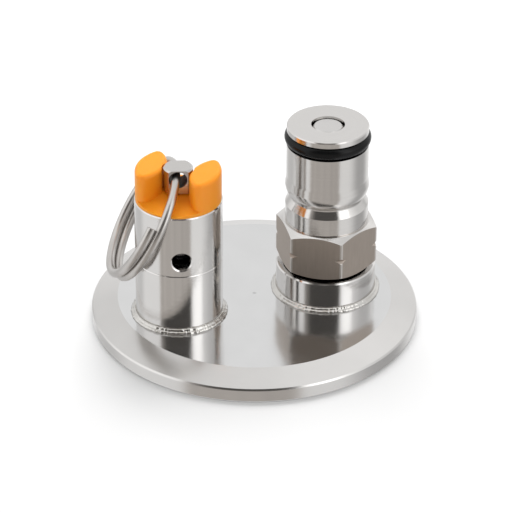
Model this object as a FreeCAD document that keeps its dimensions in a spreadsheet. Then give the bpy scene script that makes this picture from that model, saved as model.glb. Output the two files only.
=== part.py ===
import FreeCAD
import Part
import Sketcher
import math
import os

# Sanitary clamp end cap with a ball-lock gas post and a pull-ring relief valve.
# Millimetres and degrees, +Z up, origin at the centre of the disc's clamp face.

Vector = FreeCAD.Vector

# Driving sizes: alias, value, meaning
SIZES = (
    ("flange_radius", 32.0, "outside of the clamp disc"),
    ("rim_height", 2.75, "straight edge of the clamp disc"),
    ("taper_angle", 20.0, "clamping taper on the disc's back"),
    ("taper_width", 5.07, "from the disc's outside in to its flat top"),
    ("rim_break", 0.25, "broken edges of the rim"),
    ("groove_inset", 3.85, "from the disc's outside in to the middle of the gasket groove"),
    ("groove_half_width", 2.3, "half the gasket groove"),
    ("groove_depth", 1.6, "depth of the gasket groove"),
    ("post_inset", 18.0, "from the disc's right side in to the gas post's axis"),
    ("post_y", 3.15, "gas post axis"),
    ("valve_inset", 17.4, "from the disc's left side in to the relief valve's axis"),
    ("valve_y", -6.3, "relief valve axis"),
    ("post_port_radius", 3.0, "gas hole through disc, boss and nipple"),
    ("valve_port_radius", 4.0, "hole in the disc below the valve"),
    ("boss_radius", 9.76, "collar of the weld boss"),
    ("boss_height", 6.0, "collar of the weld boss"),
    ("boss_break", 0.25, "chamfer round the collar's top"),
    ("nipple_radius", 7.1, "thread of the nipple"),
    ("nipple_height", 8.5, "nipple above the collar"),
    ("nipple_break", 0.8, "lead-in chamfer of the nipple"),
    ("relief_depth", 0.6, "thread relief at the nipple's foot"),
    ("relief_height", 1.0, "thread relief at the nipple's foot"),
    ("thread_play", 0.05, "radial play of the screwed joints"),
    ("post_weld_leg", 1.14, "weld out along the disc from the boss"),
    ("post_weld_rise", 1.0, "weld up the boss"),
    ("valve_weld_leg", 1.1, "weld out along the disc from the socket"),
    ("valve_weld_rise", 1.1, "weld up the socket"),
    ("hex_flats", 17.46, "across the flats of the gas post"),
    ("hex_gap", 0.4, "hex above the collar, as the gasket takes the thrust"),
    ("hex_height", 9.3, "height of the hex"),
    ("hex_face_inset", 0.28, "from the flats in to the round end faces the chamfers leave"),
    ("hex_chamfer_angle", 30.0, "chamfers of the hex"),
    ("hex_turn", -13.7, "turn of the hex about its axis"),
    ("nick_depth", 0.6, "gas mark turned into the hex corners"),
    ("post_length", 30.2, "gas post from hex face to top"),
    ("barrel_radius", 7.95, "upper barrel"),
    ("lower_barrel_radius", 8.1, "barrel between hex and lock groove"),
    ("bulge_radius", 8.17, "swell above the lock groove"),
    ("neck_radius", 7.25, "bottom of the lock groove"),
    ("top_break", 0.2, "broken edge at the post's top"),
    ("seal_groove_drop", 1.12, "top of the O-ring groove below the post's top"),
    ("seal_groove_play", 0.23, "O-ring in the width of its groove"),
    ("seal_groove_radius", 5.75, "floor of the O-ring groove"),
    ("post_ring_section", 1.31, "section radius of the post's O-ring"),
    ("bulge_start_drop", 11.0, "where the swell starts, below the top"),
    ("bulge_full_drop", 12.6, "where the swell is full, below the top"),
    ("neck_drop", 15.1, "where the swell meets the neck, below the top"),
    ("neck_width", 0.25, "straight bottom of the lock groove"),
    ("cone_end_drop", 16.8, "foot of the cone under the lock groove"),
    ("gasket_thickness", 1.0, "flat gasket on the nipple"),
    ("gasket_inner_play", 0.75, "gasket round the poppet spring"),
    ("gasket_play", 0.1, "gasket inside the post's thread"),
    ("post_bore_radius", 6.0, "inside of the post above the thread"),
    ("seat_foot_height", 22.5, "where the poppet's cone seat starts"),
    ("pin_radius", 3.0, "poppet pin"),
    ("pin_play", 0.25, "pin in the hole of the post's top"),
    ("pin_drop", 0.3, "pin end below the post's top"),
    ("pin_break", 0.35, "chamfer on the pin's end"),
    ("poppet_flange_radius", 5.0, "poppet flange"),
    ("poppet_flange_height", 1.2, "poppet flange"),
    ("poppet_stub_radius", 2.85, "spring guide under the flange"),
    ("poppet_stub_height", 2.2, "spring guide under the flange"),
    ("poppet_ring_section", 0.9, "section radius of the poppet's seal"),
    ("seat_gap", 0.02, "play between a seal or spring and its seat"),
    ("poppet_spring_radius", 3.8, "middle of the poppet spring's wire"),
    ("poppet_spring_wire", 0.35, "wire radius of the poppet spring"),
    ("poppet_spring_turns", 7.0, "turns of the poppet spring"),
    ("tube_radius", 8.5, "valve socket and bonnet"),
    ("socket_height", 12.475, "valve socket above the disc"),
    ("bonnet_height", 12.73, "valve bonnet above the seam"),
    ("seam_break", 0.12, "broken edges at the seam"),
    ("socket_wall", 2.2, "wall of the socket outside its thread"),
    ("bonnet_ring_section", 0.62, "section radius of the bonnet's O-ring"),
    ("pocket_side_play", 0.09, "pocket outside the bonnet's O-ring"),
    ("pocket_depth_play", 0.06, "O-ring in the depth of its pocket"),
    ("spigot_length", 9.0, "threaded spigot of the bonnet"),
    ("spigot_break", 0.6, "lead-in chamfer of the spigot"),
    ("valve_bore_radius", 2.75, "passage through the bonnet to the seat"),
    ("bonnet_wall", 1.9, "wall of the bonnet round its chamber"),
    ("chamber_floor", 1.13, "chamber floor above the seam"),
    ("lip_height", 0.6, "raised valve seat"),
    ("lip_width", 0.6, "raised valve seat"),
    ("rim_chamfer", 0.2, "edges of the bonnet's rim"),
    ("vent_height", 3.22, "vent holes above the seam"),
    ("vent_radius", 1.83, "vent holes"),
    ("vent_break", 0.25, "countersink of the vent holes"),
    ("vent_turn", 5.0, "turn of the vent holes about the axis"),
    ("rubber_radius", 4.4, "valve rubber"),
    ("rubber_height", 2.0, "valve rubber"),
    ("holder_wall", 0.75, "wall of the rubber's cup"),
    ("holder_lip", 0.8, "cup wall down the rubber"),
    ("holder_floor", 1.2, "cup floor above the rubber"),
    ("holder_hub_radius", 2.6, "spring guide on the cup"),
    ("holder_hub_height", 1.5, "spring guide on the cup"),
    ("turning_play", 0.05, "play between stem and cup"),
    ("stem_radius", 1.5, "valve stem"),
    ("stem_hole_play", 0.1, "stem in the cap's hole"),
    ("collar_radius", 2.2, "stem collar above the cup"),
    ("collar_height", 0.8, "stem collar above the cup"),
    ("screw_radius", 1.0, "screw in the stem's end"),
    ("screw_length", 4.0, "screw in the stem's end"),
    ("screw_play", 0.02, "screw in its thread"),
    ("screw_head_radius", 2.2, "screw head under the rubber"),
    ("screw_head_height", 1.0, "screw head under the rubber"),
    ("slot_half_width", 0.3, "driver slot"),
    ("slot_depth", 0.45, "driver slot"),
    ("valve_spring_radius", 3.75, "middle of the valve spring's wire"),
    ("valve_spring_wire", 0.45, "wire radius of the valve spring"),
    ("valve_spring_turns", 4.5, "turns of the valve spring"),
    ("cap_inset", 0.2, "from the tube's outside in to the orange locking cap"),
    ("cap_height", 6.6, "lobes above the rim"),
    ("ridge_height", 1.85, "valley floor beside the stem, above the rim"),
    ("mouth_height", 0.3, "valley floor at its mouths, above the rim"),
    ("valley_turn", -17.5, "turn of the valley about the axis"),
    ("valley_gap", 2.6, "valley half width beside the stem"),
    ("mouth_angle", 43.8, "half angle of the valley's mouths"),
    ("recess_play", 0.3, "room round the stem head"),
    ("lobe_round", 0.85, "rounding of the lobes' tops"),
    ("tip_round", 1.3, "rounding of the lobes' tips"),
    ("cap_spigot_play", 0.05, "cap inside the bonnet"),
    ("cap_spigot_length", 4.0, "cap inside the bonnet"),
    ("spring_pocket_play", 0.45, "room round the spring inside the cap"),
    ("spring_pocket_top", 0.2, "roof of the spring room above the rim"),
    ("head_radius", 2.85, "stem head"),
    ("head_half_flats", 2.15, "half across the flats of the stem head"),
    ("head_gap", 0.15, "stem head above the cap's ridge"),
    ("head_height", 4.9, "stem head"),
    ("head_break", 0.3, "chamfer on the stem head"),
    ("head_turn", 4.0, "turn of the stem head about the axis"),
    ("eye_height", 5.0, "ring hole above the rim"),
    ("eye_radius", 1.66, "ring hole"),
    ("ring_radius", 12.0, "middle of the ring's wire"),
    ("ring_wire", 0.85, "wire radius of the ring"),
    ("ring_coil_gap", 0.05, "between the coils of the ring"),
    ("ring_turns", 1.68, "turns of the ring"),
    ("ring_eye_turns", 0.82, "turns from the ring's first end to the eye"),
    ("ring_eye_gap", 0.234, "wire to the wall of the eye"),
    ("ring_eye_angle", 38.66, "where the wire lies in the eye, up from its side"),
    ("ring_turn", 2.0, "wire's heading in the eye, about the valve axis"),
    ("ring_dip", 4.9, "wire's slope in the eye"),
    ("ring_rest_gap", 0.08, "gap left where the ring leans on the tube"),
)

doc = FreeCAD.newDocument("clamp_end_cap")
sheet = doc.addObject("Spreadsheet::Sheet", "sizes")


class Size:
    """A length or an angle: its number, and the formula that ties it to the sheet."""

    def __init__(self, value, formula):
        self.value = value
        self.formula = formula

    def joined(self, sign, other, value):
        return Size(value, "(%s %s %s)" % (self.formula, sign, formula_of(other)))

    def __add__(self, other):
        return self.joined("+", other, self.value + number(other))

    def __sub__(self, other):
        return self.joined("-", other, self.value - number(other))

    def __mul__(self, other):
        return self.joined("*", other, self.value * number(other))

    def __truediv__(self, other):
        return self.joined("/", other, self.value / number(other))

    def __neg__(self):
        return Size(-self.value, "(-1 * %s)" % self.formula)

    def root(self):
        return Size(math.sqrt(self.value), "sqrt(%s)" % self.formula)

    def tan(self):
        return Size(math.tan(math.radians(self.value)), "tan(%s * 1 deg)" % self.formula)

    def sin(self):
        return Size(math.sin(math.radians(self.value)), "sin(%s * 1 deg)" % self.formula)


def number(size):
    return size.value if isinstance(size, Size) else float(size)


def formula_of(size):
    return size.formula if isinstance(size, Size) else repr(float(size))


class Sizes:
    """Every driving size, by its alias in the sheet."""

    def __init__(self):
        for row, (alias, value, meaning) in enumerate(SIZES, start=1):
            sheet.set("A%d" % row, alias)
            sheet.set("B%d" % row, repr(value))
            sheet.setAlias("B%d" % row, alias)
            sheet.set("C%d" % row, meaning)
        doc.recompute()
        for alias, _, _ in SIZES:
            setattr(self, alias, Size(float(sheet.get(alias)), "sizes." + alias))


size = Sizes()

# Places, levels and radii that pieces share
post_x = size.flange_radius - size.post_inset
valve_x = size.valve_inset - size.flange_radius
disc_top = size.rim_height + size.taper_width * size.taper_angle.tan()
collar_top = disc_top + size.boss_height
seam = disc_top + size.socket_height
tube_rim = seam + size.bonnet_height
rubber_foot = seam + size.chamber_floor + size.lip_height + size.seat_gap
rubber_top = rubber_foot + size.rubber_height
cup_top = rubber_top + size.holder_floor
stem_foot = rubber_foot - size.turning_play
eye_level = tube_rim + size.eye_height
running_bore = size.stem_radius + size.turning_play
poppet_ring_radius = size.pin_radius + size.seat_gap + size.poppet_ring_section
poppet_ring_height = (size.seat_foot_height + size.post_bore_radius - poppet_ring_radius
                      - (size.poppet_ring_section + size.seat_gap) * math.sqrt(2))
flange_top = poppet_ring_height - size.poppet_ring_section
flange_foot = flange_top - size.poppet_flange_height
hex_corner = size.hex_flats / math.sqrt(3)
pin_hole_radius = size.pin_radius + size.pin_play
seal_groove_width = size.post_ring_section * 2 + size.seal_groove_play
socket_bore_radius = size.tube_radius - size.socket_wall
spigot_radius = socket_bore_radius - size.thread_play
bonnet_ring_radius = spigot_radius + size.seat_gap + size.bonnet_ring_section
seal_pocket_depth = size.bonnet_ring_section * 2 + size.pocket_depth_play
chamber_radius = size.tube_radius - size.bonnet_wall
cap_radius = size.tube_radius - size.cap_inset
ring_pitch = size.ring_wire * 2 + size.ring_coil_gap


# Building blocks

def new_body(label, x=0, y=0, z=0, turn=0):
    body = doc.addObject("PartDesign::Body", label)
    body.Label = label
    place = "vector(%s; %s; %s)" % (formula_of(x), formula_of(y), formula_of(z))
    heading = "rotation(vector(0; 0; 1); %s)" % formula_of(turn)
    body.setExpression("Placement", "placement(%s; %s)" % (place, heading))
    return body


def new_sketch(body, name, role, offset=0):
    sketch = body.newObject("Sketcher::SketchObject", name)
    plane = [feature for feature in body.Origin.OriginFeatures if feature.Role == role][0]
    sketch.AttachmentSupport = [(plane, "")]
    sketch.MapMode = "FlatFace"
    sketch.setExpression("AttachmentOffset.Base.z", formula_of(offset))
    return sketch


def dimension(sketch, kind, *where, to):
    """Add a dimension and bind it to the sheet."""
    index = sketch.addConstraint(Sketcher.Constraint(kind, *where, number(to)))
    name = "%s_%d" % (kind.lower(), index)
    sketch.renameConstraint(index, name)
    sketch.setExpression("Constraints." + name, formula_of(to))


def pin_point(sketch, edge, end, across, up):
    """Hold a point at its place from the sketch origin; a bare 0 puts it on the axis."""
    for kind, place, axis in (("DistanceX", across, -2), ("DistanceY", up, -1)):
        if not isinstance(place, Size):
            sketch.addConstraint(Sketcher.Constraint("PointOnObject", edge, end, axis))
        elif place.value < 0:
            dimension(sketch, kind, edge, end, -1, 1, to=-place)
        else:
            dimension(sketch, kind, -1, 1, edge, end, to=place)


def arc_between(start, end, radius, side):
    """The short arc from start to end, with its centre to the left (1) or right (-1)."""
    chord = end - start
    half = chord.Length / 2
    left = Vector(-chord.y, chord.x, 0).normalize()
    centre = (start + end) / 2 + left * side * math.sqrt(max(radius ** 2 - half ** 2, 0))
    first, last = (start, end) if side > 0 else (end, start)
    turn_from = math.atan2(first.y - centre.y, first.x - centre.x)
    turn_to = math.atan2(last.y - centre.y, last.x - centre.x)
    return Part.ArcOfCircle(Part.Circle(centre, Vector(0, 0, 1), radius), turn_from, turn_to)


def outline(sketch, corners, arcs=None):
    """Draw a closed outline; arcs maps an edge's number to its radius and its centre's side."""
    arcs = arcs or {}
    places = [Vector(number(across), number(up), 0) for across, up in corners]
    starts = []
    ends = []
    for i, start in enumerate(places):
        end = places[(i + 1) % len(places)]
        side = 1
        if i in arcs:
            radius, side = arcs[i]
            edge = sketch.addGeometry(arc_between(start, end, number(radius), side), False)
        else:
            edge = sketch.addGeometry(Part.LineSegment(start, end), False)
        starts.append((edge, 1 if side > 0 else 2))
        ends.append((edge, 2 if side > 0 else 1))
    for i, corner in enumerate(corners):
        sketch.addConstraint(Sketcher.Constraint("Coincident", *ends[i - 1], *starts[i]))
        pin_point(sketch, *starts[i], *corner)
    for i, (radius, _) in arcs.items():
        dimension(sketch, "Radius", starts[i][0], to=radius)


def circle(sketch, across, up, radius):
    centre = Vector(number(across), number(up), 0)
    edge = sketch.addGeometry(Part.Circle(centre, Vector(0, 0, 1), number(radius)), False)
    pin_point(sketch, edge, 3, across, up)
    dimension(sketch, "Radius", edge, to=radius)


def turned(body, name, *outlines, arcs=None, cut=False):
    """Turn outlines of (radius, height) corners about the body's own axis."""
    sketch = new_sketch(body, name + "_profile", "XZ_Plane")
    for corners in outlines:
        outline(sketch, corners, arcs)
    feature = body.newObject("PartDesign::Groove" if cut else "PartDesign::Revolution", name)
    feature.Profile = sketch
    feature.ReferenceAxis = (sketch, ["V_Axis"])
    feature.Angle = 360


def extruded(body, name, sketch, length, cut=False, backward=False, both_ways=False):
    feature = body.newObject("PartDesign::Pocket" if cut else "PartDesign::Pad", name)
    feature.Profile = sketch
    feature.setExpression("Length", formula_of(length))
    feature.Reversed = backward
    feature.Midplane = both_ways


def drilled(body, name, across, up, radius, length):
    """Drill up from the body's own XY plane."""
    sketch = new_sketch(body, name + "_circle", "XY_Plane")
    circle(sketch, across, up, radius)
    extruded(body, name, sketch, length, cut=True, backward=True)


def broken_edges(body, kind, name, wanted, reach):
    """Chamfer or fillet the edges of the body that the test wants."""
    doc.recompute()
    base = body.Tip
    edges = ["Edge%d" % i for i, edge in enumerate(base.Shape.Edges, start=1) if wanted(edge)]
    feature = body.newObject("PartDesign::" + kind, name)
    feature.Base = (base, edges)
    feature.setExpression("Size" if kind == "Chamfer" else "Radius", formula_of(reach))


def near(value, target):
    return abs(value - number(target)) < 1e-4


def rectangle(left, low, right, high):
    return ((left, low), (right, low), (right, high), (left, high))


def make_o_ring(label, radius, section, x, y, z):
    body = new_body(label, x, y, z)
    sketch = new_sketch(body, "section", "XZ_Plane")
    circle(sketch, radius, 0, section)
    ring = body.newObject("PartDesign::Revolution", "ring")
    ring.Profile = sketch
    ring.ReferenceAxis = (sketch, ["V_Axis"])
    ring.Angle = 360


def wound(body, radius, wire, pitch, turns):
    """Wind a wire right-handed round the body's own axis."""
    sketch = new_sketch(body, "wire_section", "XZ_Plane")
    circle(sketch, radius, 0, wire)
    coil = body.newObject("PartDesign::AdditiveHelix", "coil")
    coil.Profile = sketch
    coil.ReferenceAxis = (sketch, ["V_Axis"])
    coil.Mode = "pitch-turns-angle"
    coil.setExpression("Pitch", formula_of(pitch))
    coil.setExpression("Turns", formula_of(turns))


def make_spring(label, radius, wire, turns, x, y, foot, top):
    """A spring between two seats."""
    start = foot + size.seat_gap + wire
    finish = top - size.seat_gap - wire
    body = new_body(label, x, y, start)
    wound(body, radius, wire, (finish - start) / turns, turns)


# Disc and what is welded to it

def make_end_cap_disc():
    body = new_body("end_cap_disc")
    edge = size.rim_break
    turned(body, "blank", (
        (0, 0),
        (size.flange_radius - edge, 0),
        (size.flange_radius, edge),
        (size.flange_radius, size.rim_height - edge),
        (size.flange_radius - edge, size.rim_height + edge * size.taper_angle.tan()),
        (size.flange_radius - size.taper_width, disc_top),
        (0, disc_top),
    ))
    half = size.groove_half_width
    depth = size.groove_depth
    groove_round = (half * half + depth * depth) / (depth * 2)
    middle = size.flange_radius - size.groove_inset
    mouth = ((middle - half, 0), (middle + half, 0))
    turned(body, "gasket_groove", mouth, arcs={1: (groove_round, 1)}, cut=True)
    drilled(body, "gas_port", post_x, size.post_y, size.post_port_radius, disc_top)
    drilled(body, "valve_port", valve_x, size.valve_y, size.valve_port_radius, disc_top)


def make_post_boss():
    body = new_body("post_boss", post_x, size.post_y, disc_top)
    relief_radius = size.nipple_radius - size.relief_depth
    relief_top = size.boss_height + size.relief_height
    nipple_top = size.boss_height + size.nipple_height
    turned(body, "boss", (
        (size.post_port_radius, 0),
        (size.boss_radius, 0),
        (size.boss_radius, size.boss_height - size.boss_break),
        (size.boss_radius - size.boss_break, size.boss_height),
        (relief_radius, size.boss_height),
        (relief_radius, relief_top),
        (size.nipple_radius, relief_top + size.relief_depth),
        (size.nipple_radius, nipple_top - size.nipple_break),
        (size.nipple_radius - size.nipple_break, nipple_top),
        (size.post_port_radius, nipple_top),
    ))


def make_weld(label, radius, leg, rise, x, y):
    """A slightly full fillet weld round a tube on the disc."""
    body = new_body(label, x, y, disc_top)
    bead_round = (leg + rise) * 0.65
    bead = ((radius, 0), (radius + leg, 0), (radius, rise))
    turned(body, "bead", bead, arcs={1: (bead_round, 1)})


def make_valve_socket():
    body = new_body("valve_socket", valve_x, size.valve_y, disc_top)
    pocket_radius = bonnet_ring_radius + size.bonnet_ring_section + size.pocket_side_play
    pocket_floor = size.socket_height - seal_pocket_depth
    turned(body, "tube", (
        (socket_bore_radius, 0),
        (size.tube_radius, 0),
        (size.tube_radius, size.socket_height - size.seam_break),
        (size.tube_radius - size.seam_break, size.socket_height),
        (pocket_radius, size.socket_height),
        (pocket_radius, pocket_floor),
        (socket_bore_radius, pocket_floor),
    ))


# Gas post

def make_gas_post_body():
    body = new_body("gas_post_body", post_x, size.post_y, collar_top, size.hex_turn)
    hex_top = size.hex_gap + size.hex_height
    add_hex(body, hex_top)
    top = size.post_length
    rise = size.bulge_radius - size.neck_radius
    fall = size.neck_drop - size.bulge_full_drop
    swell_round = (rise * rise + fall * fall) / (rise * 2)
    groove_top = top - size.seal_groove_drop
    groove_foot = groove_top - seal_groove_width
    turned(body, "barrel", (
        (0, hex_top),
        (size.lower_barrel_radius, hex_top),
        (size.lower_barrel_radius, top - size.cone_end_drop),
        (size.neck_radius, top - size.neck_drop - size.neck_width),
        (size.neck_radius, top - size.neck_drop),
        (size.bulge_radius, top - size.bulge_full_drop),
        (size.barrel_radius, top - size.bulge_start_drop),
        (size.barrel_radius, groove_foot),
        (size.seal_groove_radius, groove_foot),
        (size.seal_groove_radius, groove_top),
        (size.barrel_radius, groove_top),
        (size.barrel_radius, top - size.top_break),
        (size.barrel_radius - size.top_break, top),
        (0, top),
    ), arcs={4: (swell_round, 1)})
    thread_radius = size.nipple_radius + size.thread_play
    shoulder = size.nipple_height + size.gasket_thickness
    seat_end = size.seat_foot_height + size.post_bore_radius - pin_hole_radius
    turned(body, "gas_way", (
        (0, 0),
        (thread_radius, 0),
        (thread_radius, shoulder),
        (size.post_bore_radius, shoulder),
        (size.post_bore_radius, size.seat_foot_height),
        (pin_hole_radius, seat_end),
        (pin_hole_radius, top),
        (0, top),
    ), cut=True)


def add_hex(body, hex_top):
    """The hex with chamfered ends and the ring groove that marks a gas post."""
    sketch = new_sketch(body, "hex_outline", "XY_Plane", size.hex_gap)
    half = size.hex_flats / 2
    outline(sketch, (
        (hex_corner, 0),
        (hex_corner / 2, half),
        (-hex_corner / 2, half),
        (-hex_corner, 0),
        (-hex_corner / 2, -half),
        (hex_corner / 2, -half),
    ))
    extruded(body, "hex", sketch, size.hex_height)
    outside = hex_corner * 1.1
    face = half - size.hex_face_inset
    drop = (outside - face) * size.hex_chamfer_angle.tan()
    foot_chamfer = (
        (face, size.hex_gap),
        (outside, size.hex_gap),
        (outside, size.hex_gap + drop),
    )
    top_chamfer = ((face, hex_top), (outside, hex_top), (outside, hex_top - drop))
    turned(body, "hex_chamfers", foot_chamfer, top_chamfer, cut=True)
    middle = size.hex_gap + size.hex_height / 2
    nick_radius = hex_corner - size.nick_depth
    half_width = outside - nick_radius
    turned(body, "gas_mark", (
        (nick_radius, middle),
        (outside, middle - half_width),
        (outside, middle + half_width),
    ), cut=True)


def make_post_thread_gasket():
    body = new_body("post_thread_gasket", post_x, size.post_y, collar_top + size.nipple_height)
    inner = size.poppet_spring_radius + size.poppet_spring_wire + size.gasket_inner_play
    outer = size.nipple_radius + size.thread_play - size.gasket_play
    turned(body, "gasket", rectangle(inner, 0, outer, size.gasket_thickness))


def make_poppet_pin():
    body = new_body("poppet_pin", post_x, size.post_y, collar_top)
    stub_foot = flange_foot - size.poppet_stub_height
    pin_top = size.post_length - size.pin_drop
    turned(body, "poppet", (
        (0, stub_foot),
        (size.poppet_stub_radius, stub_foot),
        (size.poppet_stub_radius, flange_foot),
        (size.poppet_flange_radius, flange_foot),
        (size.poppet_flange_radius, flange_top),
        (size.pin_radius, flange_top),
        (size.pin_radius, pin_top - size.pin_break),
        (size.pin_radius - size.pin_break, pin_top),
        (0, pin_top),
    ))


def make_post_seals_and_spring():
    groove_middle = size.post_length - size.seal_groove_drop - seal_groove_width / 2
    make_o_ring("gas_post_o_ring", size.seal_groove_radius + size.seat_gap + size.post_ring_section,
                size.post_ring_section, post_x, size.post_y, collar_top + groove_middle)
    make_o_ring("poppet_seal", poppet_ring_radius, size.poppet_ring_section,
                post_x, size.post_y, collar_top + poppet_ring_height)
    make_spring("poppet_spring", size.poppet_spring_radius, size.poppet_spring_wire,
                size.poppet_spring_turns, post_x, size.post_y,
                collar_top + size.nipple_height, collar_top + flange_foot)


# Relief valve

def make_valve_bonnet():
    body = new_body("valve_bonnet", valve_x, size.valve_y, seam, size.vent_turn)
    lip_top = size.chamber_floor + size.lip_height
    turned(body, "bonnet", (
        (size.valve_bore_radius, -size.spigot_length),
        (spigot_radius - size.spigot_break, -size.spigot_length),
        (spigot_radius, size.spigot_break - size.spigot_length),
        (spigot_radius, 0),
        (size.tube_radius - size.seam_break, 0),
        (size.tube_radius, size.seam_break),
        (size.tube_radius, size.bonnet_height - size.rim_chamfer),
        (size.tube_radius - size.rim_chamfer, size.bonnet_height),
        (chamber_radius + size.rim_chamfer, size.bonnet_height),
        (chamber_radius, size.bonnet_height - size.rim_chamfer),
        (chamber_radius, size.chamber_floor),
        (size.valve_bore_radius + size.lip_width, size.chamber_floor),
        (size.valve_bore_radius + size.lip_width, lip_top),
        (size.valve_bore_radius, lip_top),
    ))
    sketch = new_sketch(body, "vent_circle", "XZ_Plane")
    circle(sketch, 0, size.vent_height, size.vent_radius)
    extruded(body, "vents", sketch, size.tube_radius * 2.2, cut=True, both_ways=True)

    def outer_vent_edge(edge):
        return all(near(math.hypot(point.x, point.y), size.tube_radius)
                   and near(math.hypot(point.x, point.z - size.vent_height.value), size.vent_radius)
                   for point in edge.discretize(5))

    broken_edges(body, "Chamfer", "vent_edges", outer_vent_edge, size.vent_break)


def make_bonnet_o_ring():
    make_o_ring("bonnet_o_ring", bonnet_ring_radius, size.bonnet_ring_section,
                valve_x, size.valve_y, seam - seal_pocket_depth / 2)


def make_valve_seal():
    body = new_body("valve_seal", valve_x, size.valve_y, rubber_foot)
    turned(body, "rubber", rectangle(running_bore, 0, size.rubber_radius, size.rubber_height))


def make_seal_holder():
    body = new_body("seal_holder", valve_x, size.valve_y, rubber_top - size.holder_lip)
    inner = size.rubber_radius + size.seat_gap
    outer = inner + size.holder_wall
    floor_top = size.holder_lip + size.holder_floor
    hub_top = floor_top + size.holder_hub_height
    turned(body, "cup", (
        (running_bore, size.holder_lip),
        (inner, size.holder_lip),
        (inner, 0),
        (outer, 0),
        (outer, floor_top),
        (size.holder_hub_radius, floor_top),
        (size.holder_hub_radius, hub_top),
        (running_bore, hub_top),
    ))


def make_seal_screw():
    body = new_body("seal_screw", valve_x, size.valve_y, stem_foot - size.screw_head_height)
    tip = size.screw_head_height + size.screw_length
    turned(body, "screw", (
        (0, 0),
        (size.screw_head_radius, 0),
        (size.screw_head_radius, size.screw_head_height),
        (size.screw_radius, size.screw_head_height),
        (size.screw_radius, tip),
        (0, tip),
    ))
    sketch = new_sketch(body, "slot_outline", "XY_Plane")
    end = size.screw_head_radius * 1.1
    outline(sketch, rectangle(-end, -size.slot_half_width, end, size.slot_half_width))
    extruded(body, "driver_slot", sketch, size.slot_depth, cut=True, backward=True)


def make_valve_stem():
    """The stem, its collar above the cup, and its flatted and cross-drilled head."""
    body = new_body("valve_stem", valve_x, size.valve_y, stem_foot, size.head_turn)
    hole_radius = size.screw_radius + size.screw_play
    hole_top = size.screw_length + size.screw_play
    collar_foot = cup_top + size.holder_hub_height + size.turning_play - stem_foot
    collar_end = collar_foot + size.collar_height
    head_foot = tube_rim + size.ridge_height + size.head_gap - stem_foot
    head_top = head_foot + size.head_height
    eye_middle = eye_level - stem_foot
    turned(body, "stem", (
        (0, hole_top),
        (hole_radius, hole_top),
        (hole_radius, 0),
        (size.stem_radius, 0),
        (size.stem_radius, collar_foot),
        (size.collar_radius, collar_foot),
        (size.collar_radius, collar_end),
        (size.stem_radius, collar_end),
        (size.stem_radius, head_foot),
        (size.head_radius, head_foot),
        (size.head_radius, head_top - size.head_break),
        (size.head_radius - size.head_break, head_top),
        (0, head_top),
    ))
    sketch = new_sketch(body, "flats_outline", "XY_Plane", head_foot)
    side = size.head_radius * 1.1
    outline(sketch, rectangle(-side, size.head_half_flats, side, side))
    outline(sketch, rectangle(-side, -side, side, -size.head_half_flats))
    extruded(body, "flats", sketch, size.head_height, cut=True, backward=True)
    sketch = new_sketch(body, "eye_circle", "XZ_Plane")
    circle(sketch, 0, eye_middle, size.eye_radius)
    extruded(body, "eye", sketch, size.head_radius * 3, cut=True, both_ways=True)


def make_valve_spring():
    make_spring("valve_spring", size.valve_spring_radius, size.valve_spring_wire,
                size.valve_spring_turns, valve_x, size.valve_y,
                cup_top, tube_rim + size.spring_pocket_top)


# Locking cap: two cam lobes, and between them a valley that slopes down to its mouths

def make_lock_cap():
    body = new_body("lock_cap", valve_x, size.valve_y, tube_rim, size.valley_turn)
    plug_radius = chamber_radius - size.cap_spigot_play
    pocket_radius = size.valve_spring_radius + size.valve_spring_wire + size.spring_pocket_play
    stem_hole = size.stem_radius + size.stem_hole_play
    turned(body, "plug", (
        (stem_hole, size.spring_pocket_top),
        (pocket_radius, size.spring_pocket_top),
        (pocket_radius, -size.cap_spigot_length),
        (plug_radius, -size.cap_spigot_length),
        (plug_radius, 0),
        (cap_radius, 0),
        (cap_radius, size.ridge_height),
        (stem_hole, size.ridge_height),
    ))
    cut_valley_floor(body)
    add_lobes(body)
    sketch = new_sketch(body, "recess_circle", "XY_Plane", size.ridge_height)
    circle(sketch, 0, 0, size.head_radius + size.recess_play)
    extruded(body, "head_recess", sketch, size.cap_height, cut=True, backward=True)


def cut_valley_floor(body):
    """Slope the floor from its ridge beside the stem down to both mouths."""
    slope = (size.ridge_height - size.mouth_height) / cap_radius
    reach = cap_radius * 1.1
    low = size.ridge_height - slope * reach
    roof = size.ridge_height * 2
    sketch = new_sketch(body, "floor_outline", "YZ_Plane")
    outline(sketch, (
        (0, size.ridge_height),
        (reach, low),
        (reach, roof),
        (-reach, roof),
        (-reach, low),
    ))
    extruded(body, "valley_floor", sketch, reach * 2, cut=True, both_ways=True)


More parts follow.
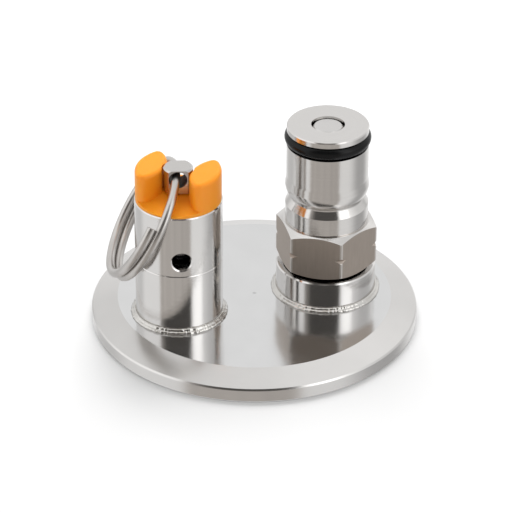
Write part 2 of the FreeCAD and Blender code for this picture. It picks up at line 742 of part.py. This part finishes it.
def add_lobes(body):
    """Two lens-shaped lobes: outside the cap's circle, inside an arc across the valley."""
    outer = cap_radius
    gap = size.valley_gap
    tip = size.tip_round
    mouth = outer * size.mouth_angle.sin()
    far = (outer * outer - gap * gap) / ((mouth - gap) * 2)
    inner = far - gap
    tip_x = ((outer - tip) * (outer - tip) - (inner - tip) * (inner - tip) + far * far) / (far * 2)
    tip_y = ((outer - tip) * (outer - tip) - tip_x * tip_x).root()
    outward = outer / (outer - tip)
    inward = inner / (inner - tip)
    outer_x = tip_x * outward
    outer_y = tip_y * outward
    inner_x = far - (far - tip_x) * inward
    inner_y = tip_y * inward
    arcs = {0: (outer, 1), 1: (tip, 1), 2: (inner, 1), 3: (tip, 1)}
    right = ((outer_x, -outer_y), (outer_x, outer_y), (inner_x, inner_y), (inner_x, -inner_y))
    left = tuple((-across, -up) for across, up in right)
    sketch = new_sketch(body, "lobes_outline", "XY_Plane", size.spring_pocket_top)
    outline(sketch, right, arcs)
    outline(sketch, left, arcs)
    extruded(body, "lobes", sketch, size.cap_height - size.spring_pocket_top)

    def top_edge(edge):
        return all(near(point.z, size.cap_height) for point in edge.discretize(5))

    broken_edges(body, "Fillet", "lobe_tops", top_edge, size.lobe_round)


# Pull ring: a split ring through the eye, leaning on the tube

def ring_axes(lean):
    """Heading of the wire in the eye, way to the ring's centre, and the ring's axis."""
    turn = math.radians(size.ring_turn.value)
    dip = math.radians(size.ring_dip.value)
    heading = Vector(math.sin(turn) * math.cos(dip), -math.cos(turn) * math.cos(dip), -math.sin(dip))
    side = heading.cross(Vector(0, 0, 1)).normalize()
    down = heading.cross(side)
    inward = side * math.cos(lean) + down * math.sin(lean)
    return heading, inward, heading.cross(inward)


def eye_point():
    offset = size.eye_radius.value - size.ring_wire.value - size.ring_eye_gap.value
    angle = math.radians(size.ring_eye_angle.value)
    beside = valve_x.value - offset * math.cos(angle)
    return Vector(beside, size.valve_y.value, eye_level.value + offset * math.sin(angle))


def wire_to_rims(lean):
    """Smallest distance from the wire's middle line to the tube's rim and the cap's edge."""
    heading, inward, axis = ring_axes(lean)
    radius = size.ring_radius.value
    centre = eye_point() + inward * radius
    rims = (
        (size.tube_radius.value, tube_rim.value),
        (cap_radius.value, tube_rim.value + size.mouth_height.value),
    )
    steps = 720
    nearest = radius
    for i in range(steps + 1):
        turns = size.ring_turns.value * i / steps - size.ring_eye_turns.value
        angle = 2 * math.pi * turns
        spoke = heading * math.sin(angle) - inward * math.cos(angle)
        point = centre + spoke * radius + axis * ring_pitch.value * turns
        from_axis = math.hypot(point.x - valve_x.value, point.y - size.valve_y.value)
        for rim_radius, rim_level in rims:
            outside = max(from_axis - rim_radius, 0)
            above = max(point.z - rim_level, 0)
            nearest = min(nearest, math.hypot(outside, above))
    return nearest


def resting_lean():
    """The steepest lean at which the wire still clears tube and cap, found by halving."""
    clear = math.radians(40)
    blocked = math.radians(90)
    wanted = size.ring_wire.value + size.ring_rest_gap.value
    while blocked - clear > 1e-6:
        middle = (clear + blocked) / 2
        if wire_to_rims(middle) > wanted:
            clear = middle
        else:
            blocked = middle
    return clear


def make_pull_ring():
    body = doc.addObject("PartDesign::Body", "pull_ring")
    body.Label = "pull_ring"
    wound(body, size.ring_radius, size.ring_wire, ring_pitch, size.ring_turns)
    heading, inward, axis = ring_axes(resting_lean())
    unwound = FreeCAD.Rotation(axis, -360 * size.ring_eye_turns.value)
    start = unwound.multVec(-inward)
    climb = size.ring_eye_turns.value * ring_pitch.value
    origin = eye_point() + inward * size.ring_radius.value - axis * climb
    body.Placement = FreeCAD.Placement(origin, FreeCAD.Rotation(start, axis.cross(start), axis, "ZXY"))


def check_document():
    """Stop if anything in the document failed, or a cut took nothing away."""
    for item in doc.Objects:
        if "Invalid" in item.State or "Error" in item.State:
            raise RuntimeError("%s failed: %s" % (item.Label, item.State))
        if item.TypeId in ("PartDesign::Pocket", "PartDesign::Groove"):
            if item.BaseFeature.Shape.Volume - item.Shape.Volume < 1e-3:
                raise RuntimeError("%s cuts nothing" % item.Label)


def write_pieces():
    os.makedirs("parts", exist_ok=True)
    for body in doc.findObjects("PartDesign::Body"):
        if body.Shape.isNull() or not body.Shape.isValid() or len(body.Shape.Solids) != 1:
            raise RuntimeError("%s is not one valid solid" % body.Label)
        body.Shape.exportStep("parts/%s.step" % body.Label)
        print("%-20s %9.2f mm3" % (body.Label, body.Shape.Volume))


make_end_cap_disc()
make_post_boss()
make_weld("post_boss_weld", size.boss_radius, size.post_weld_leg, size.post_weld_rise,
          post_x, size.post_y)
make_gas_post_body()
make_post_thread_gasket()
make_poppet_pin()
make_post_seals_and_spring()
make_valve_socket()
make_weld("valve_socket_weld", size.tube_radius, size.valve_weld_leg, size.valve_weld_rise,
          valve_x, size.valve_y)
make_valve_bonnet()
make_bonnet_o_ring()
make_valve_seal()
make_seal_holder()
make_seal_screw()
make_valve_stem()
make_valve_spring()
make_lock_cap()
make_pull_ring()
doc.recompute()
check_document()
write_pieces()
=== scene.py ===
import math

import bmesh
import bpy
from mathutils import Matrix, Vector, noise


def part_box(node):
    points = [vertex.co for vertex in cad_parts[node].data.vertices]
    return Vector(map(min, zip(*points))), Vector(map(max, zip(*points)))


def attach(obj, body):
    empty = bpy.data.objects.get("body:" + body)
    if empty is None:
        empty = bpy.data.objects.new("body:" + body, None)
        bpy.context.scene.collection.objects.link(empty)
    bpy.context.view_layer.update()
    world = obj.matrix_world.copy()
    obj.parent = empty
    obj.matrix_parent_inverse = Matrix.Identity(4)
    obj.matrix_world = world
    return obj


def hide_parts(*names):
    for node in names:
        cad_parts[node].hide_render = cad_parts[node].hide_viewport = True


# Looks of a clamp end cap with a gas post and a pull-ring relief valve.
# Metres and +Z up, as in the frame. MM and MICRON turn those units into metres.

MM = 0.001
MICRON = 0.001 * MM

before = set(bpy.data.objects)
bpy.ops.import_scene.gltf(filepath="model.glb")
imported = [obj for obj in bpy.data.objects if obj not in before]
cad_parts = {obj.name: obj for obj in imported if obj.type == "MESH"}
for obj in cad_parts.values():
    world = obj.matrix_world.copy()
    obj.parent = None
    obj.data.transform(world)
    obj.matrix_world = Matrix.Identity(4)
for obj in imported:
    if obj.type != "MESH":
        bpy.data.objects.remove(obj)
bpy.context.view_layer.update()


def middle(node):
    low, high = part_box(node)
    return (low + high) / 2


def top(node):
    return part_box(node)[1].z


def foot(node):
    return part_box(node)[0].z


def reach(node):
    """Half a round node's width."""
    low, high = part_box(node)
    return (high.x - low.x) / 2


# Places on the object

disc_axis = Vector((0, 0, 0))
disc_top = top("end_cap_disc")
rim_radius = reach("end_cap_disc")
hub_radius = 26.93 * MM

post_axis = middle("post_boss")
hex_foot = foot("gas_post_body")
hex_height = 9.3 * MM
hex_width = 17.46 * MM
hex_corner = hex_width / math.sqrt(3)

valve_axis = middle("valve_socket")
eye_above_bonnet = 5.0 * MM
eye_radius = 1.66 * MM
eye = Vector((valve_axis.x, valve_axis.y, top("valve_bonnet") + eye_above_bonnet))

# Weld beads. The share of the solid bead that they fill leaves room for the swell and the grain.
# The middle of a bead's face stands out 1 on a quarter round and 0.71 on a straight chamfer.

BEAD_SHARE = 0.86
FACE_MIDDLE = 0.76
RIPPLE_PITCH = 0.6 * MM
GRAINS_PER_MM = 3.0
GRAIN_DEPTH = 0.09
PROFILE_STEPS = 8
ROUND_STEPS = 420


# Shader maths

class Signal:
    """What leaves a shader node. Sums, products and differences of signals add Math nodes."""

    def __init__(self, finish, socket):
        self.finish = finish
        self.socket = socket

    def math(self, operation, *others):
        return self.finish.node("Math", {"operation": operation}, (self,) + others)

    def __add__(self, other):
        return self.math("ADD", other)

    def __radd__(self, other):
        return self.math("ADD", other)

    def __sub__(self, other):
        return self.math("SUBTRACT", other)

    def __rsub__(self, other):
        return self * -1 + other

    def __mul__(self, other):
        return self.math("MULTIPLY", other)

    def __rmul__(self, other):
        return self.math("MULTIPLY", other)

    def __abs__(self):
        return self.math("ABSOLUTE")

    def rising(self, low, high):
        """0 below low, 1 above high, smooth between."""
        smooth = {"interpolation_type": "SMOOTHSTEP"}
        return self.finish.node("MapRange", smooth, (self, low, high, 0, 1))

    def between(self, low, high, soft):
        """1 from low to high and 0 outside, with edges that are soft to both sides."""
        return self.rising(low - soft, low + soft) * (1 - self.rising(high - soft, high + soft))


class Finish:
    """A node tree being wired up: a material's or the world's."""

    def __init__(self, tree):
        self.tree = tree
        tree.nodes.clear()

    def node(self, kind, settings=None, inputs=(), out=0):
        """Add a node: its settings first, then its inputs by order or by name."""
        added = self.tree.nodes.new("ShaderNode" + kind)
        for name, setting in (settings or {}).items():
            setattr(added, name, setting)
        pairs = inputs.items() if isinstance(inputs, dict) else enumerate(inputs)
        for socket, value in pairs:
            if isinstance(value, Signal):
                self.tree.links.new(value.socket, added.inputs[socket])
            else:
                added.inputs[socket].default_value = value
        return Signal(self, added.outputs[out]) if added.outputs else None

    def split(self, vector):
        """The three parts of a vector."""
        parts = self.node("SeparateXYZ", {}, (vector,)).socket.node
        return [Signal(self, output) for output in parts.outputs]

    def vector(self, x, y, z):
        return self.node("CombineXYZ", {}, (x, y, z))

    def here(self):
        """Object coordinates, in metres."""
        return self.node("TexCoord", out="Object")

    def place(self, centre):
        """Object coordinates from a centre, in millimetres."""
        inputs = {"Vector": self.here(), "Location": -centre / MM, "Scale": (1 / MM,) * 3}
        return self.split(self.node("Mapping", {}, inputs))

    def speckle(self, where, scale, detail=2.0, rough=0.5):
        """Noise from 0 to 1."""
        inputs = {"Vector": where, "Scale": scale, "Detail": detail, "Roughness": rough}
        return self.node("TexNoise", {}, inputs)

    def mixed(self, share, first, second):
        """A colour between two."""
        inputs = {0: share, 6: first, 7: second}
        return self.node("Mix", {"data_type": "RGBA"}, inputs, out=2)

    def relief(self, height, depth):
        """Bump of a height from 0 to 1 times a depth in metres."""
        return self.node("Bump", {}, {"Strength": 1.0, "Distance": depth, "Height": height})

    def surface(self, **inputs):
        """The principled shader, wired to the output."""
        def titled(name):
            return name.replace("_", " ").title().replace("Ior", "IOR")

        shader = self.node("BsdfPrincipled", {}, {titled(name): value for name, value in inputs.items()})
        self.node("OutputMaterial", {}, {"Surface": shader})


def new_finish(name):
    """An empty material and its node tree."""
    material = bpy.data.materials.new(name)
    material.use_nodes = True
    return material, Finish(material.node_tree)


def grey(level, warmth=0.0):
    """A grey with a little more red and less blue where it is warm."""
    return (level * (1 + warmth), level, level * (1 - warmth), 1)


# Finishes

def turning_marks(finish, centre):
    """Marks of the lathe about an upright axis, with the radius and the level in millimetres."""
    marks_per_mm = 9.0
    x, y, z = finish.place(centre)
    radius = (x * x + y * y).math("SQRT")
    angle = y.math("ARCTAN2", x)
    groove = finish.vector(radius * marks_per_mm, z * marks_per_mm, angle * 0.4)
    marks = finish.speckle(groove, 1.0, detail=3.0, rough=0.6)
    return marks, radius, z


def turned_steel(name, centre, tone, rough, depth):
    """Polished stainless steel with fine turning marks about an upright axis."""
    material, finish = new_finish(name)
    marks, _, _ = turning_marks(finish, centre)
    smudge = finish.speckle(finish.here(), 220.0, detail=3.0)
    finish.surface(
        base_color=finish.mixed(smudge, grey(tone * 0.95, 0.02), grey(tone, 0.02)),
        metallic=1.0,
        roughness=rough + marks * 0.03 + smudge * 0.03,
        normal=finish.relief(marks, depth),
    )
    return material


def disc_steel():
    """Polished flat top, warmer satin taper and rim, and a painted shadow where the rim meets the floor."""
    material, finish = new_finish("clamp disc steel")
    marks, radius, level = turning_marks(finish, disc_axis)
    hub, rim, flat_level = hub_radius / MM, rim_radius / MM, disc_top / MM
    on_top = level.rising(flat_level - 0.2, flat_level - 0.1)
    flat = (1 - radius.rising(hub - 0.05, hub + 0.05)) * on_top
    smudge = finish.speckle(finish.here(), 160.0, detail=4.0)
    polished = finish.mixed(smudge, grey(0.66), grey(0.72))
    satin = finish.mixed(smudge, grey(0.62, 0.02), grey(0.68, 0.02))
    centre_mark = (1 - radius.rising(0.1, 0.6)) * flat
    # Painted contact shadow: the rim's foot is darkened towards grey where it meets the floor.
    painted_rim_contact_shadow = radius.rising(rim - 1.0, rim - 0.2) * (1 - level.rising(0.05, 0.25))
    tone = finish.mixed(flat, satin, polished)
    finish.surface(
        # The turning's centre mark is darker, and the rim's foot gets the painted contact shadow.
        base_color=finish.mixed(centre_mark * 0.4 + painted_rim_contact_shadow * 0.8, tone, grey(0.30)),
        metallic=1.0,
        roughness=0.14 - flat * 0.05 + marks * 0.06 + smudge * 0.05,
        normal=finish.relief(marks * (3.5 - 2.1 * flat), 1.5 * MICRON),
    )
    return material


def stem_steel():
    """Brushed head, with painted shade inside the eye's hole."""
    material, finish = new_finish("valve stem steel")
    marks, _, _ = turning_marks(finish, valve_axis)
    x, _, z = finish.place(eye)
    # Painted shade: the inside of the eye's hole is darkened almost to black, and made rougher.
    painted_eye_shade = 1 - (x * x + z * z).math("SQRT").rising(eye_radius / MM + 0.05, eye_radius / MM + 0.15)
    tone = finish.mixed(marks, grey(0.54, 0.03), grey(0.60, 0.03))
    finish.surface(
        base_color=finish.mixed(painted_eye_shade, tone, grey(0.06, 0.08)),
        metallic=1.0,
        roughness=0.20 + marks * 0.06 + painted_eye_shade * 0.3,
        normal=finish.relief(marks, 3 * MICRON),
    )
    return material


def post_steel():
    """Turned barrel; the hex's flats keep the drawn bar's duller, browner skin, worn at the corners."""
    material, finish = new_finish("gas post steel")
    centre = Vector((post_axis.x, post_axis.y, hex_foot))
    marks, radius, level = turning_marks(finish, centre)
    _, _, facing = finish.split(finish.node("NewGeometry", out="Normal"))
    below_barrel = 1 - level.rising(hex_height / MM, hex_height / MM + 0.1)
    flats = below_barrel * (1 - abs(facing).rising(0.78, 0.84))
    worn = radius.rising(hex_corner / MM - 0.24, hex_corner / MM - 0.08)
    x, y, z = finish.place(centre)
    drawn = finish.speckle(finish.vector(x * 3.0, y * 3.0, z * 0.25), 1.0, detail=4.0, rough=0.65)
    bright = finish.mixed(marks, grey(0.60, 0.03), grey(0.69, 0.02))
    dull = finish.mixed(drawn, (0.40, 0.345, 0.30, 1), (0.52, 0.46, 0.41, 1))
    dull = finish.mixed(worn, dull, (0.76, 0.73, 0.70, 1))
    height = marks * (1 - flats) * 7.0 + drawn * flats * 3.0
    finish.surface(
        base_color=finish.mixed(flats, bright, dull),
        metallic=1.0,
        roughness=0.09 + marks * 0.06 + flats * (0.26 + drawn * 0.12),
        normal=finish.relief(height, 1.5 * MICRON),
    )
    return material


def wire_steel(name, tone, rough):
    """Drawn wire: fine scratches and soft stains."""
    material, finish = new_finish(name)
    stain = finish.speckle(finish.here(), 350.0, detail=3.0)
    scratch = finish.speckle(finish.here(), 2600.0, detail=2.0, rough=0.7)
    finish.surface(
        base_color=finish.mixed(stain, grey(tone * 0.88, 0.05), grey(tone, 0.03)),
        metallic=1.0,
        roughness=rough + scratch * 0.10,
        normal=finish.relief(scratch, 1.5 * MICRON),
    )
    return material


def weld_steel():
    """Bright cast-looking bead with a faint straw tint."""
    material, finish = new_finish("weld bead steel")
    tint = finish.speckle(finish.here(), 300.0, detail=3.0)
    pits = finish.speckle(finish.here(), 1800.0, detail=3.0, rough=0.6)
    finish.surface(
        base_color=finish.mixed(tint, (0.55, 0.53, 0.50, 1), (0.66, 0.65, 0.63, 1)),
        metallic=1.0,
        roughness=0.12 + pits * 0.16,
        normal=finish.relief(pits, 8 * MICRON),
    )
    return material


def cap_plastic():
    """Orange moulded plastic with a soft skin and a little light inside it."""
    material, finish = new_finish("orange cap plastic")
    cloud = finish.speckle(finish.here(), 180.0, detail=3.0)
    grain = finish.speckle(finish.here(), 3200.0, detail=2.0)
    finish.surface(
        base_color=finish.mixed(cloud, (0.94, 0.295, 0.003, 1), (0.97, 0.335, 0.008, 1)),
        roughness=0.42 + grain * 0.12,
        specular_ior_level=0.5,
        subsurface_weight=0.35,
        subsurface_radius=(1.0, 0.45, 0.12),
        subsurface_scale=1.2 * MM,
        normal=finish.relief(grain, 4 * MICRON),
    )
    return material


def rubber(name, tone, rough, shine):
    """Moulded rubber or soft plastic, with a little dust in its skin."""
    material, finish = new_finish(name)
    dust = finish.speckle(finish.here(), 700.0, detail=4.0, rough=0.7)
    finish.surface(
        base_color=finish.mixed(dust, grey(tone, -0.05), grey(tone * 1.7, -0.05)),
        roughness=rough + dust * 0.12,
        specular_ior_level=shine,
        normal=finish.relief(dust, 4 * MICRON),
    )
    return material


# Pieces

def piece_from(bm, name, material, body):
    """Make the finished object, smooth and with its faces outwards."""
    bmesh.ops.recalc_face_normals(bm, faces=bm.faces)
    for face in bm.faces:
        face.smooth = True
    mesh = bpy.data.meshes.new(name)
    bm.to_mesh(mesh)
    bm.free()
    mesh.materials.append(material)
    piece = bpy.data.objects.new(name, mesh)
    bpy.context.scene.collection.objects.link(piece)
    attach(piece, body)
    return piece


def bead_swell(angle, radius, start):
    """How much fuller the bead is at an angle: ripples of the torch, uneven from place to place."""
    around = Vector((math.cos(angle), math.sin(angle), 0)) * radius / MM
    slow = noise.noise(around * 0.3 + Vector((start, 0, 0)))
    fast = noise.noise(around * 1.6 + Vector((0, start, 5)))
    uneven = fast * 5
    ripple = math.sin(angle * radius / RIPPLE_PITCH * 2 * math.pi + uneven)
    ripple_height = 0.022 + 0.03 * max(slow, 0)
    return slow * 0.06 + ripple * ripple_height + fast * 0.04


def make_weld_bead(name, node, axis, inner, material, start):
    """A fillet bead spun round its tube, then swollen and rippled. start sets where its noise starts."""
    outer = reach(node)
    rise = top(node) - disc_top
    corner = Vector((axis.x + inner, axis.y, disc_top))
    bm = bmesh.new()
    chain = [bm.verts.new(corner)]
    for i in range(PROFILE_STEPS + 1):
        lean = math.pi / 2 * i / PROFILE_STEPS
        full = FACE_MIDDLE + (1 - FACE_MIDDLE) * abs(math.cos(2 * lean))
        out = (outer - inner) * math.cos(lean) * full
        up = rise * math.sin(lean) * full
        chain.append(bm.verts.new(corner + Vector((out, 0, up))))
    edges = [bm.edges.new(pair) for pair in zip(chain, chain[1:] + chain[:1])]
    bmesh.ops.spin(bm, geom=chain + edges, cent=Vector((axis.x, axis.y, 0)), axis=(0, 0, 1), dvec=(0, 0, 0),
                   angle=2 * math.pi, steps=ROUND_STEPS, use_merge=True, use_duplicate=False)
    for vert in bm.verts:
        from_axis = Vector((vert.co.x - axis.x, vert.co.y - axis.y, 0))
        angle = math.atan2(from_axis.y, from_axis.x)
        root = Vector((axis.x, axis.y, disc_top)) + from_axis.normalized() * inner
        grain = noise.noise(vert.co / MM * GRAINS_PER_MM)
        size = BEAD_SHARE + grain * GRAIN_DEPTH + bead_swell(angle, outer, start)
        vert.co = root + (vert.co - root) * size
    piece = piece_from(bm, name, material, "cap_assembly")
    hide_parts(node)


def dress(material, *nodes):
    for node in nodes:
        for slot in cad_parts[node].material_slots:
            slot.material = material


def dress_pieces():
    """Give every node its finish, and make the two weld beads anew."""
    dress(disc_steel(), "end_cap_disc")
    dress(post_steel(), "gas_post_body")
    dress(turned_steel("boss steel", post_axis, 0.67, 0.07, 8 * MICRON), "post_boss")
    dress(turned_steel("poppet steel", post_axis, 0.64, 0.20, 3 * MICRON), "poppet_pin")
    dress(turned_steel("valve tube steel", valve_axis, 0.70, 0.06, 10 * MICRON),
          "valve_socket", "valve_bonnet")
    dress(stem_steel(), "valve_stem", "seal_screw", "seal_holder")
    dress(wire_steel("spring wire", 0.60, 0.16), "poppet_spring", "valve_spring")
    dress(wire_steel("ring wire", 0.58, 0.26), "pull_ring")
    dress(cap_plastic(), "lock_cap")
    dress(rubber("black rubber", 0.004, 0.18, 0.18),
          "gas_post_o_ring", "bonnet_o_ring", "poppet_seal", "valve_seal")
    dress(rubber("white sealing plastic", 0.55, 0.40, 0.5), "post_thread_gasket")
    weld = weld_steel()
    boss = reach("post_boss")
    tube = reach("valve_socket")
    make_weld_bead("boss_weld_bead", "post_boss_weld", post_axis, boss, weld, 3.0)
    make_weld_bead("socket_weld_bead", "valve_socket_weld", valve_axis, tube, weld, 11.0)


# Camera, floor and light

def place_camera():
    """The photograph's view: a long lens, 31 degrees above the floor."""
    elevation = math.radians(30.934)
    roll = math.radians(0.306)
    distance = 592.63 * MM
    target = Vector((0.291, 0, 13.089)) * MM
    image_pixels = 512
    focal_pixels = 3027.4
    sensor = 36
    back = Vector((0, -math.cos(elevation), math.sin(elevation)))
    right = Vector((1, 0, 0))
    above = back.cross(right)
    turned_right = right * math.cos(roll) + above * math.sin(roll)
    turned_above = above * math.cos(roll) - right * math.sin(roll)
    data = bpy.data.cameras.new("camera")
    data.sensor_width = sensor
    data.lens = focal_pixels / image_pixels * sensor
    data.clip_start = 0.01
    data.clip_end = 10
    camera = bpy.data.objects.new("camera", data)
    turn = Matrix((turned_right, turned_above, back)).transposed().to_4x4()
    camera.matrix_world = Matrix.Translation(target + back * distance) @ turn
    bpy.context.scene.collection.objects.link(camera)
    bpy.context.scene.camera = camera


def make_floor():
    """White, with the object's shadow. Polished metal looks through it, to the world below."""
    material, finish = new_finish("pale floor")
    seen = finish.node("LightPath", out="Is Camera Ray")
    mirrored = finish.node("LightPath", out="Is Glossy Ray")
    paint = finish.node("BsdfPrincipled", {}, {
        "Base Color": grey(0.79),
        "Roughness": 0.9,
        "Specular IOR Level": 0.1,
        "Emission Color": finish.mixed(seen, grey(0.0), grey(0.02)),
        "Emission Strength": 1.0,
    })
    clear = finish.node("BsdfTransparent")
    shown = finish.node("MixShader", {}, (mirrored, paint, clear))
    finish.node("OutputMaterial", {}, {"Surface": shown})
    bm = bmesh.new()
    bmesh.ops.create_circle(bm, cap_ends=True, segments=96, radius=3)
    mesh = bpy.data.meshes.new("floor")
    bm.to_mesh(mesh)
    bm.free()
    mesh.materials.append(material)
    floor = bpy.data.objects.new("floor", mesh)
    bpy.context.scene.collection.objects.link(floor)


def light_tent():
    """A pale tent. Polished metal sees a room: dim behind the camera, a window beside it."""
    world = bpy.data.worlds.new("studio")
    bpy.context.scene.world = world
    world.use_nodes = True
    finish = Finish(world.node_tree)

    # Directions in degrees: azimuth 0 is the camera's side and 90 the right, elevation 0 is level
    x, y, z = finish.split(finish.node("TexCoord", out="Generated"))
    azimuth = x.math("ARCTAN2", y * -1) * (180 / math.pi)
    elevation = z.math("ARCSINE") * (180 / math.pi)
    level_length = (x * x + y * y).math("SQRT")
    around = finish.vector(x.math("DIVIDE", level_length), y.math("DIVIDE", level_length), 0)
    bands = finish.speckle(around, 9.0) - 0.5
    folds = (finish.speckle(around, 3.5) - 0.5) * elevation.rising(40, 60)

    # Brightness of the table below and of the room above, where 1 is white
    behind_camera = azimuth.between(-50, 33, 3)
    right_wall = azimuth.rising(58, 98) * (1 - azimuth.rising(115, 150))
    left_wall = azimuth.between(-152, -108, 12)
    wall_shade = right_wall * 0.43 + left_wall * 0.24
    window = azimuth.between(36, 64, 4) * elevation.between(3, 55, 5)
    sides = abs(azimuth).between(40, 146, 8)
    dusk = behind_camera * (0.50 + elevation.between(10, 62, 5) * 0.38)
    table = 0.93 - behind_camera * (0.42 + bands * 0.3) - wall_shade
    room = 0.97 + sides * 0.28 - dusk * (1 - elevation.rising(66, 78))
    room = room - wall_shade + window * 0.75 + folds * 0.6
    shown = table + (room - table) * elevation.rising(-2, 2)

    # Metal sees that room, the camera sees white, and everything else gets the tent's plain light
    seen = finish.node("LightPath", out="Is Camera Ray")
    mirrored = finish.node("LightPath", out="Is Glossy Ray")
    plain = 0.8
    strength = plain + seen * (1 - plain) + (shown - plain) * mirrored
    tint = finish.mixed(behind_camera * mirrored, grey(1.0), grey(0.97, 0.06))
    background = finish.node("Background", {}, {"Color": tint, "Strength": strength})
    finish.node("OutputWorld", {}, {"Surface": background})


def light_key():
    """A soft box high behind the object, so the shadow falls to the front. Metal doesn't mirror it."""
    elevation = math.radians(57)
    distance = 0.9
    way = Vector((0, math.cos(elevation), math.sin(elevation)))
    data = bpy.data.lights.new("key", "AREA")
    data.shape = "RECTANGLE"
    data.size = 0.7
    data.size_y = 0.5
    data.energy = 6.2
    light = bpy.data.objects.new("key", data)
    light.location = way * distance
    light.rotation_euler = way.to_track_quat("Z", "Y").to_euler()
    light.visible_glossy = False
    bpy.context.scene.collection.objects.link(light)


bpy.context.scene.view_settings.view_transform = "Standard"
dress_pieces()
make_floor()
light_tent()
light_key()
place_camera()
